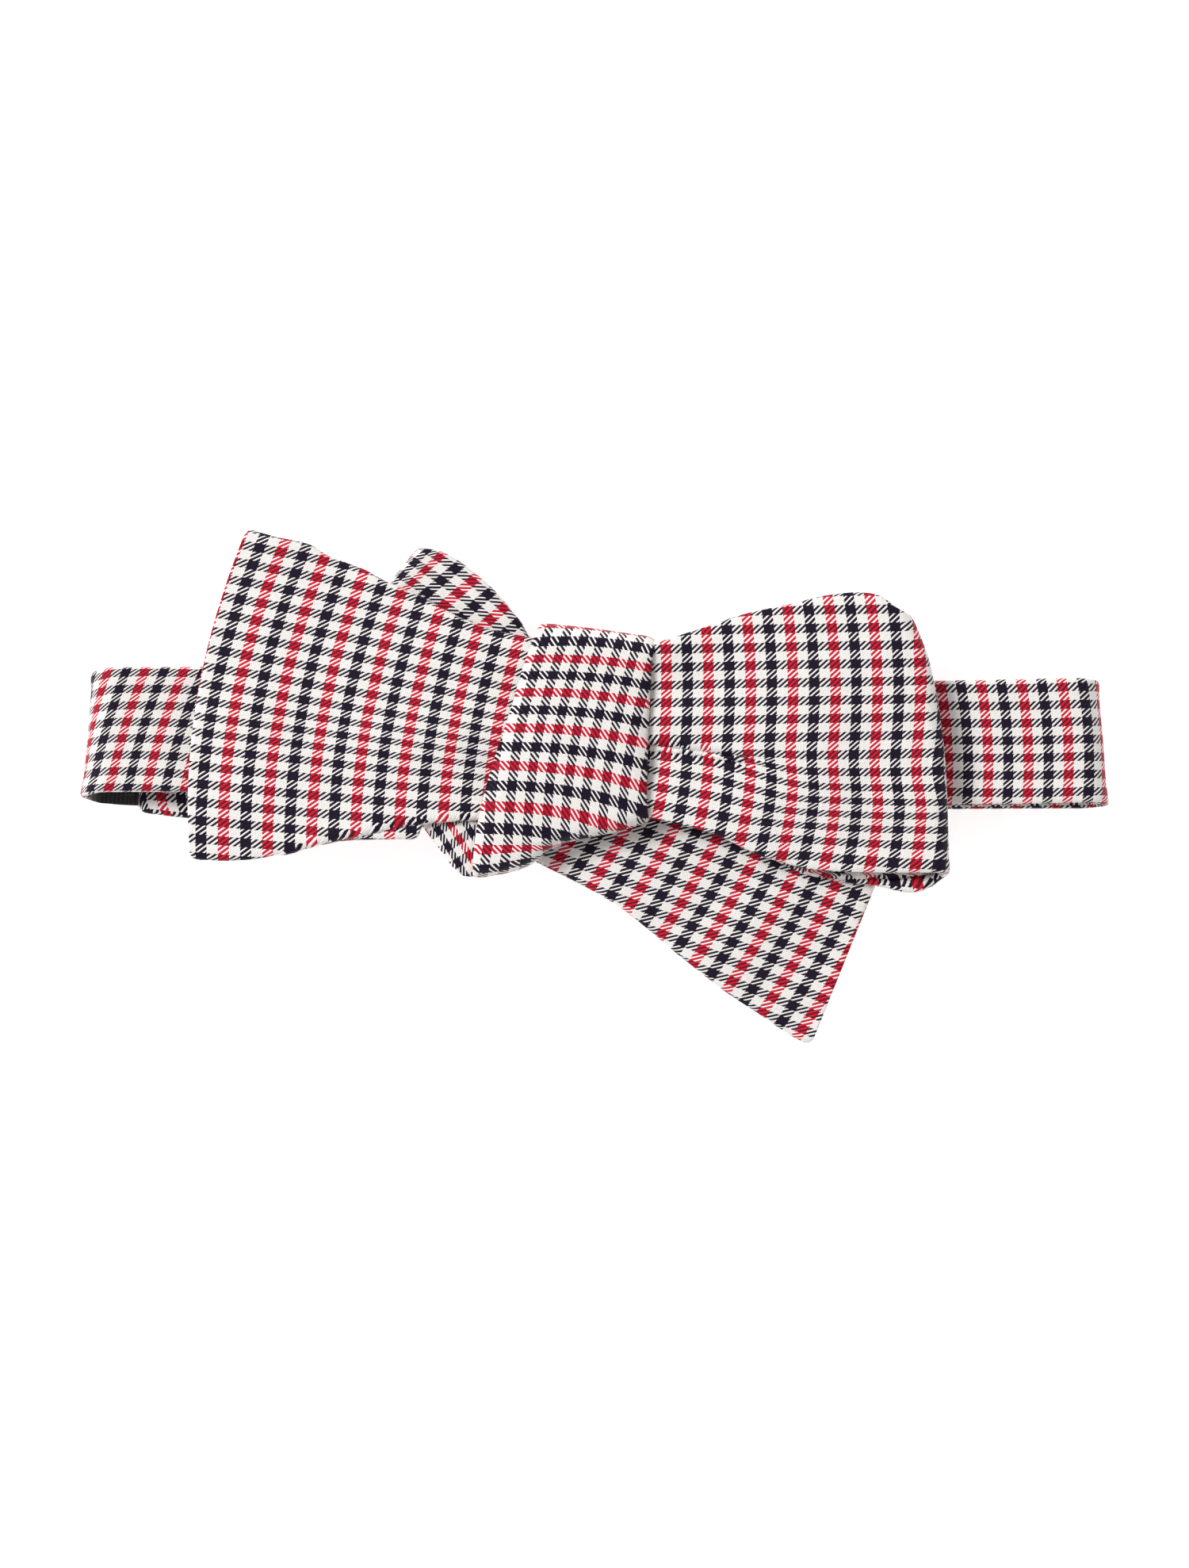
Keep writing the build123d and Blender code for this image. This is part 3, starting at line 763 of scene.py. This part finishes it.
knot_left = profile([(-17.1, -23.2), (-10.4, -22.5), (-3.2, -21.0), (4.1, -18.9), (12.8, -16.0),
                     (22.9, -13.1), (29.4, -10.7)])
knot_right = profile([(-8.0, 11.0), (-6.8, 10.8), (-1.7, 10.2), (9.9, 10.3), (20.7, 11.0), (26.1, 11.7),
                      (29.0, 11.9)])
knot_top = profile([(-1.0, 29.5), (-0.15, 28.7), (0.85, 27.1), (1.0, 26.2)])
knot_bottom = profile([(-1.0, -17.2), (-0.66, -16.5), (-0.36, -14.8), (-0.15, -12.0), (0.1, -10.5),
                       (0.63, -8.7), (1.0, -6.8)])
TOP_TURN_Z = (KNOT_Z - REAR_Z) / 2
LOW_TURN_Z = (KNOT_Z - MIDDLE_Z) / 2
TURN_Y = 2.2
KNOT_CROWN = 1.5
KNOT_SINK = 0.4
KNOT_RIPPLE = 0.15
KNOT_TUCK = 6.0
KNOT_FACE = 40.0
KNOT_TURN = 14.0
KNOT_TOTAL = 2 * KNOT_TUCK + 2 * KNOT_TURN + KNOT_FACE


def place_knot(s, t):
    at = s * KNOT_TOTAL
    upper_tuck = 1 - np.clip(at / KNOT_TUCK, 0, 1)
    upper_turn = (1 - np.clip((at - KNOT_TUCK) / KNOT_TURN, 0, 1)) * math.pi
    q = np.clip((at - KNOT_TUCK - KNOT_TURN) / KNOT_FACE, 0, 1)
    lower_turn = np.clip((at - KNOT_TUCK - KNOT_TURN - KNOT_FACE) / KNOT_TURN, 0, 1) * math.pi
    lower_tuck = np.clip((at - KNOT_TOTAL + KNOT_TUCK) / KNOT_TUCK, 0, 1)
    top = knot_top(t) - HALF - TURN_Y
    low = knot_bottom(t) + HALF + TURN_Y
    y = top * (1 - q) + low * q
    y = y + TURN_Y * np.sin(upper_turn) - KNOT_TUCK * upper_tuck
    y = y - TURN_Y * np.sin(lower_turn) + KNOT_TUCK * lower_tuck
    z = KNOT_Z - TOP_TURN_Z * (1 - np.cos(upper_turn)) - LOW_TURN_Z * (1 - np.cos(lower_turn))
    front = (1 + np.cos(np.maximum(upper_turn, lower_turn))) / 2
    x = between(knot_left(y) + HALF, knot_right(y) - HALF, t)
    crown = np.sqrt(np.maximum(1 - t**4, 0))
    z += (KNOT_CROWN * crown * np.sin(math.pi * np.clip(q * 0.8 + 0.1, 0, 1)) - KNOT_SINK) * front
    z += ripple(x, y, 11, KNOT_RIPPLE) * front
    over_top = top + (TURN_Y + TOP_TURN_Z) / 2 * upper_turn + KNOT_TUCK * upper_tuck
    under_low = low - (TURN_Y + LOW_TURN_Z) / 2 * lower_turn - KNOT_TUCK * lower_tuck
    flat_y = np.where(upper_turn > 0, over_top, y)
    flat_y = np.where(lower_turn > 0, under_low, flat_y)
    return np.stack([x, y, z], axis=-1), np.stack([x, flat_y], axis=-1)


knot_rows = lines((-3, 9), -1.1, -3.35, -11, 0, -0.05, 0.12, 22)
knot_stripes = lines((-3, 9), 1.8, 3.5, 83.5, 0.15, 0.12, 0.18, 15)


def knot_sweep(x, y):
    """The lowest stripes of the knot sweep up towards its right side, where it is drawn in."""
    low = np.maximum(-10.5 - y, 0)
    sweep = 0.25 * ease((-4 - y) / 8) - 0.0022 * low * np.maximum(x + 21, 0) ** 2
    return sweep - 0.3 * ease((-15.5 - y) / 2)


weave_knot = fabric(lambda x, y: knot_stripes(x, y) + knot_sweep(x, y), knot_rows)


# ------------------------------------------------------------- knot return

return_outer = edge([(-21.0, -16.4), (-23.6, -16.8), (-25.3, -16.0), (-28.3, -12.0), (-31.2, -8.2),
                     (-34.0, -4.0)])
return_inner = edge([(-19.0, -15.0), (-20.5, -9.0), (-21.0, -4.0), (-22.0, 3.0)])
KNOT_RETURN_LENGTH = 17.0


def place_knot_return(s, t):
    xy = between(return_outer(s), return_inner(s), t)
    z = MIDDLE_Z + 0.9 + 0.5 * (1 - t**2) + 1.2 * (1 + t) / 2 - 0.5 * s
    return np.concatenate([xy, z[..., None]], axis=-1), xy


weave_knot_return = fabric(lines((-28.4, -8.5), 1.0, 2.4, 32.0), lines((-28.4, -8.5), 0.0, 3.4, 122.0))


# --------------------------------------------------------------- neckband

FOLD_RISE = (BAND_Z - TABLE_STRAP_Z) / 2
FOLD_BULGE = BAND_REACH - FOLD_START - HALF
FOLD_ARC = math.pi * math.sqrt((FOLD_RISE**2 + FOLD_BULGE**2) / 2)
BAND_HALF = 11.5


def band_path(x_inner, x_rear_end, side, edge_x, front_middle, rear_middle, rear_height):
    """Middle surface of one half of the neckband, from behind the knot, round its fold and
    back along the table. side is -1 on the left. edge_x(t) is the outermost x of its fold."""
    front_length = FOLD_START - abs(x_inner)
    rear_length = abs(side * FOLD_START - x_rear_end)
    total = front_length + FOLD_ARC + rear_length

    def place(s, t):
        at = s * total
        q = np.clip(at / front_length, 0, 1)
        turn = np.clip((at - front_length) / FOLD_ARC, 0, 1) * math.pi
        back = np.clip((at - front_length - FOLD_ARC) / rear_length, 0, 1)
        start = side * (edge_x(t) - HALF - FOLD_BULGE)
        front_x = x_inner + (start - x_inner) * q
        rear_x = start + (x_rear_end - start) * back
        x = np.where(back > 0, rear_x, front_x) + side * FOLD_BULGE * np.sin(turn)
        share = turn / math.pi
        keep = corner_trim((1 - back) * rear_length, BAND_HALF, 1.5)
        across = t * BAND_HALF * keep
        y = front_middle(front_x) * (1 - share) + rear_middle(rear_x) * share + across
        flat_y = front_middle(front_x) + across
        z = (BAND_Z + TABLE_STRAP_Z) / 2 + FOLD_RISE * np.cos(turn) + rear_height(rear_x) * (back > 0)
        flat_x = front_x + side * FOLD_ARC * share
        flat_x = np.where(back > 0, 2 * start + side * FOLD_ARC - rear_x, flat_x)
        return np.stack([x, y, z], axis=-1), np.stack([flat_x, flat_y], axis=-1)

    return place, total


left_edge = profile([(-1, BAND_REACH + 1.4), (-0.8, BAND_REACH + 0.6), (0, BAND_REACH - 0.3),
                     (0.8, BAND_REACH - 1.0), (1, BAND_REACH - 0.5)])
right_edge = profile([(-1, BAND_REACH + 1.4), (-0.8, BAND_REACH + 0.7), (0, BAND_REACH),
                      (0.8, BAND_REACH - 0.8), (1, BAND_REACH - 0.4)])
left_middle = profile([(-95, 10.0), (0, 10.4)])
right_middle = profile([(0, 7.4), (30, 7.4), (62, 7.5), (95, 8.2)])
tape_middle = profile([(-95, TAPE_STRAP_Y + 0.8), (-84, TAPE_STRAP_Y - 0.2), (-60, TAPE_STRAP_Y),
                       (30, TAPE_STRAP_Y)])
hook_middle = profile([(-83, HOOK_STRAP_Y - 0.1), (-70, HOOK_STRAP_Y - 1.2), (-40, HOOK_STRAP_Y - 0.6),
                       (60, HOOK_STRAP_Y + 0.6), (95, 7.0)])


def lie_flat(x):
    return 0 * x


def lie_over_tape(x):
    rise = HOOK_STRAP_TOP_Z - TABLE_STRAP_Z
    return rise * ease((58 - x) / 24)


place_left, LEFT_LENGTH = band_path(-1, TAPE_STRAP_END, -1, left_edge, left_middle, tape_middle, lie_flat)
HOOK_STRAP_OVERRUN = 1.2  # how far the visible strap end reaches past the CAD one
place_right, RIGHT_LENGTH = band_path(
    1, HOOK_STRAP_END - HOOK_STRAP_OVERRUN, 1, right_edge, right_middle, hook_middle, lie_over_tape
)


weave_left = fabric(
    lines((-82, 12), 1.1, 3.3, -18, -0.1, 0, -0.14, 12),
    lines((-82, 12), -1.8, 3.05, 89, 0, 0.07, 0.1, 12),
)
right_stripes = lines((80, 8), 0.1, 3.7, 3, 0, 0, 0.15, 14)
HOOK_STRAP_DRIFT = -0.35  # how far the hook strap's stripes are out of step at its end
weave_right = fabric(
    lambda x, y: right_stripes(x, y) + HOOK_STRAP_DRIFT * ease((x - 120) / 60),
    lines((80, 8), 0, 3.2, 91, 0, 0.02, -0.05, 14),
)


# --------------------------------------------------------------- make them

silk_and_lining(
    "front_blade_silk", place_blade, weave_blade, (BLADE_LENGTH, 45, BLADE_END_WIDTH),
    ["front_blade"], ["front_bow_interlining"], ["rear_loop_silk"], spacing=FINE_GRID,
)
silk_and_lining(
    "front_loop_silk", place_loop, weave_loop, (LOOP_LENGTH, 42, 52.5),
    ["front_loop_face", "front_loop_fold", "front_loop_return"], [], ["rear_blade_silk"],
    spacing=FINE_GRID,
)
silk_and_lining(
    "rear_loop_silk", place_rear_loop, weave_rear_loop, (REAR_TOTAL, 30, 34),
    ["rear_loop", "rear_loop_fold"], [], ["rear_blade_silk"],
)
silk_and_lining(
    "rear_blade_silk", place_rear_blade, weave_rear_blade, (REAR_BLADE_LENGTH, 45, BLADE_END_WIDTH),
    ["rear_blade"], ["rear_bow_interlining"], ["neckband_right_silk"],
)
silk_and_lining(
    "knot_silk", place_knot, weave_knot, (KNOT_TOTAL, 26, 35),
    ["knot_wrap"], ["knot_interlining"], ["front_blade_silk", "front_loop_silk"],
)
silk_and_lining(
    "knot_return_silk", place_knot_return, weave_knot_return, (KNOT_RETURN_LENGTH, 9, 13),
    [], [], ["rear_blade_silk"],
)
BLEND_TOP = 0.0093  # heights in metres meant for the left fold's passage from one body to the other; they are not used, and the fold is left attached to neither body
BLEND_FOOT = 0.0017
blend_x, blend_y = -FOLD_START * MM, TAPE_STRAP_Y * MM
left_blend = ("bow", "tape_strap", (blend_x, blend_y, BLEND_TOP), (blend_x, blend_y, BLEND_FOOT))
silk_and_lining(
    "neckband_left_silk", place_left, weave_left, (LEFT_LENGTH, 2 * BAND_HALF, 2 * BAND_HALF),
    ["neckband_left", "neckband_left_fold", "tape_strap"],
    ["neckband_left_interlining", "left_fold_interlining", "tape_strap_interlining"],
    ["floor"], blend=left_blend,
)
silk_and_lining(
    "neckband_right_silk", place_right, weave_right, (RIGHT_LENGTH, 2 * BAND_HALF, 2 * BAND_HALF),
    ["neckband_right", "neckband_right_fold", "hook_strap"],
    ["neckband_right_interlining", "right_fold_interlining", "hook_strap_interlining"],
    ["size_tape_ribbed"],
)


def repaint(node, material):
    """A better material on a CAD node whose shape is right."""
    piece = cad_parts[node]
    for place in piece.material_slots:
        place.material = material


repaint("size_tape_stitching", BLACK_THREAD)
repaint("t_hook", METAL)
repaint("hook_keeper", KEEPER)
repaint("keeper_bar_tacks", BLACK_THREAD)

# --------------------------------------------------------------- size tape

TAPE_HALF_WIDTH = 11.6
TAPE_HALF = 0.25
TAPE_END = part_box("size_tape")[1][0] / MM
TAPE_TOP_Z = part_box("size_tape")[1][2] / MM
SLOT_PITCH = 12.7
SLOT_WIDTH = 2.2
SLOT_HALF_LENGTH = 6.7
FIRST_SLOT = -87.4
SLOT_COUNT = 9
TAPE_FOLD_REACH = FOLD_BULGE - HALF - TAPE_HALF
TAPE_FOLD_RISE = FOLD_RISE - HALF - TAPE_HALF
TAPE_TURN = 0.62  # how much of the half turn of the fold it lines


def tape_point(x, turn, y, lift):
    """A point of the tape: flat on its strap, or at an angle turn up the inside of the left fold."""
    out_reach = TAPE_FOLD_REACH - lift
    rise = TAPE_FOLD_RISE - lift
    outermost = left_edge(np.array(y / BAND_HALF)) - HALF - FOLD_BULGE
    middle_z = (BAND_Z + TABLE_STRAP_Z) / 2
    if turn == 0:
        return (x, tape_middle(np.array(x)) + y, TAPE_TOP_Z - TAPE_HALF + lift)
    share = 1 - turn / math.pi
    middle_y = left_middle(np.array(-FOLD_START)) * (1 - share) + tape_middle(np.array(-FOLD_START)) * share
    return (-outermost - out_reach * math.sin(turn), middle_y + y, middle_z - rise * math.cos(turn))


def size_tape():
    """Ribbed tape with its row of slots, and its end turned up inside the left fold."""
    slots = [FIRST_SLOT + k * SLOT_PITCH for k in range(SLOT_COUNT)]
    slot_edges = [slot + side * SLOT_WIDTH / 2 for slot in slots for side in (-1, 1)]
    turns = [TAPE_TURN * math.pi * k / 8 for k in range(8, 0, -1)]
    flat = sorted(slot_edges + list(np.linspace(-FOLD_START, TAPE_END, 90)))
    flat = [a for a, b in zip(flat, flat[1:] + [1e9]) if b - a > 0.2 or a in slot_edges]
    stations = [(-FOLD_START, turn) for turn in turns] + [(x, 0.0) for x in flat]
    across = list(np.linspace(-TAPE_HALF_WIDTH, TAPE_HALF_WIDTH, 25))
    across = sorted(across + [-SLOT_HALF_LENGTH, SLOT_HALF_LENGTH])
    rows, columns = len(stations), len(across)
    points = [
        tape_point(x, turn, y, lift)
        for lift in (TAPE_HALF, -TAPE_HALF)
        for x, turn in stations
        for y in across
    ]

    def cloth(i, j):
        if not (0 <= i < rows - 1 and 0 <= j < columns - 1):
            return False
        x = (stations[i][0] + stations[i + 1][0]) / 2
        y = (across[j] + across[j + 1]) / 2
        along = (x - FIRST_SLOT + SLOT_WIDTH / 2) % SLOT_PITCH
        in_slot = along < SLOT_WIDTH and abs(y) < SLOT_HALF_LENGTH and stations[i][1] == 0
        return not (in_slot and x < FIRST_SLOT + (SLOT_COUNT - 0.5) * SLOT_PITCH)

    def at(side, i, j):
        return side * rows * columns + i * columns + j

    faces = []
    for i in range(rows - 1):
        for j in range(columns - 1):
            if not cloth(i, j):
                continue
            faces.append((at(0, i, j), at(0, i + 1, j), at(0, i + 1, j + 1), at(0, i, j + 1)))
            faces.append((at(1, i, j), at(1, i, j + 1), at(1, i + 1, j + 1), at(1, i + 1, j)))
            walls = (((i - 1, j), (i, j), (i, j + 1)), ((i, j + 1), (i, j + 1), (i + 1, j + 1)),
                     ((i + 1, j), (i + 1, j + 1), (i + 1, j)), ((i, j - 1), (i + 1, j), (i, j)))
            for beside, a, b in walls:
                if not cloth(*beside):
                    faces.append((at(0, *a), at(0, *b), at(1, *b), at(1, *a)))
    mesh = bpy.data.meshes.new("size_tape_ribbed")
    mesh.from_pydata((np.array(points, float) * MM).tolist(), [], faces)
    tidy = bmesh.new()
    tidy.from_mesh(mesh)
    bmesh.ops.delete(tidy, geom=[v for v in tidy.verts if not v.link_faces], context="VERTS")
    bmesh.ops.recalc_face_normals(tidy, faces=tidy.faces)
    tidy.to_mesh(mesh)
    tidy.free()
    piece = bpy.data.objects.new("size_tape_ribbed", mesh)
    bpy.context.collection.objects.link(piece)
    dress(piece, TAPE)
    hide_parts("size_tape")
    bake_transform(piece)


size_tape()

# ---------------------------------------------------- camera, floor, lights

VIEW_HEIGHT = 0.2868  # how much of the table the picture's height covers
SENSOR = 36.0
LENS = 200.0
camera_data = bpy.data.cameras.new("camera")
camera_data.lens = LENS
camera_data.sensor_width = SENSOR
camera_data.clip_end = 20
camera = bpy.data.objects.new("camera", camera_data)
camera.location = (0, 0, VIEW_HEIGHT * LENS / SENSOR + FRONT_Z * MM)
bpy.context.collection.objects.link(camera)
bpy.context.scene.camera = camera


FLOOR_REACH = 3.0
FLOOR_GAP = 0.0002  # below the lowest point of the cloth
FLOOR_GLOW = 0.62  # keeps the paper white without a harsh light
KEY_PLACE = (-1.5, 0.9, 2.0)
KEY_SIZE = 0.9
KEY_POWER = 68
WORLD_LIGHT = 0.54


def floor():
    mesh = bpy.data.meshes.new("floor")
    reach = FLOOR_REACH
    corners = [(-reach, -reach, 0), (reach, -reach, 0), (reach, reach, 0), (-reach, reach, 0)]
    mesh.from_pydata(corners, [], [(0, 1, 2, 3)])
    m = Nodes("floor_paper")
    spot = m.new("ShaderNodeTexCoord").outputs["Object"]
    noise = m.new("ShaderNodeTexNoise")
    noise.inputs["Scale"].default_value = 60
    m.wire(spot, noise.inputs["Vector"])
    colour = m.mix(noise.outputs["Fac"], (0.93, 0.93, 0.93, 1), (0.95, 0.95, 0.95, 1))
    m.wire(colour, m.shader.inputs["Base Color"])
    m.set(Roughness=0.9, Emission_Color=(1, 1, 1, 1), Emission_Strength=FLOOR_GLOW)
    mesh.materials.append(m.material)
    piece = bpy.data.objects.new("floor", mesh)
    piece.location.z = -FLOOR_GAP
    bpy.context.collection.objects.link(piece)


floor()


def area_light(name, place, size, power):
    data = bpy.data.lights.new(name, "AREA")
    data.size = size
    data.energy = power
    light = bpy.data.objects.new(name, data)
    light.location = place
    direction = np.array(place) / np.linalg.norm(place)
    light.rotation_euler = (math.acos(direction[2]), 0, math.atan2(direction[0], -direction[1]))
    bpy.context.collection.objects.link(light)


area_light("key", KEY_PLACE, KEY_SIZE, KEY_POWER)
world = bpy.data.worlds.new("studio")
world.use_nodes = True
world.node_tree.nodes["Background"].inputs["Color"].default_value = (1, 1, 1, 1)
world.node_tree.nodes["Background"].inputs["Strength"].default_value = WORLD_LIGHT
bpy.context.scene.world = world
bpy.context.scene.view_settings.view_transform = "Standard"
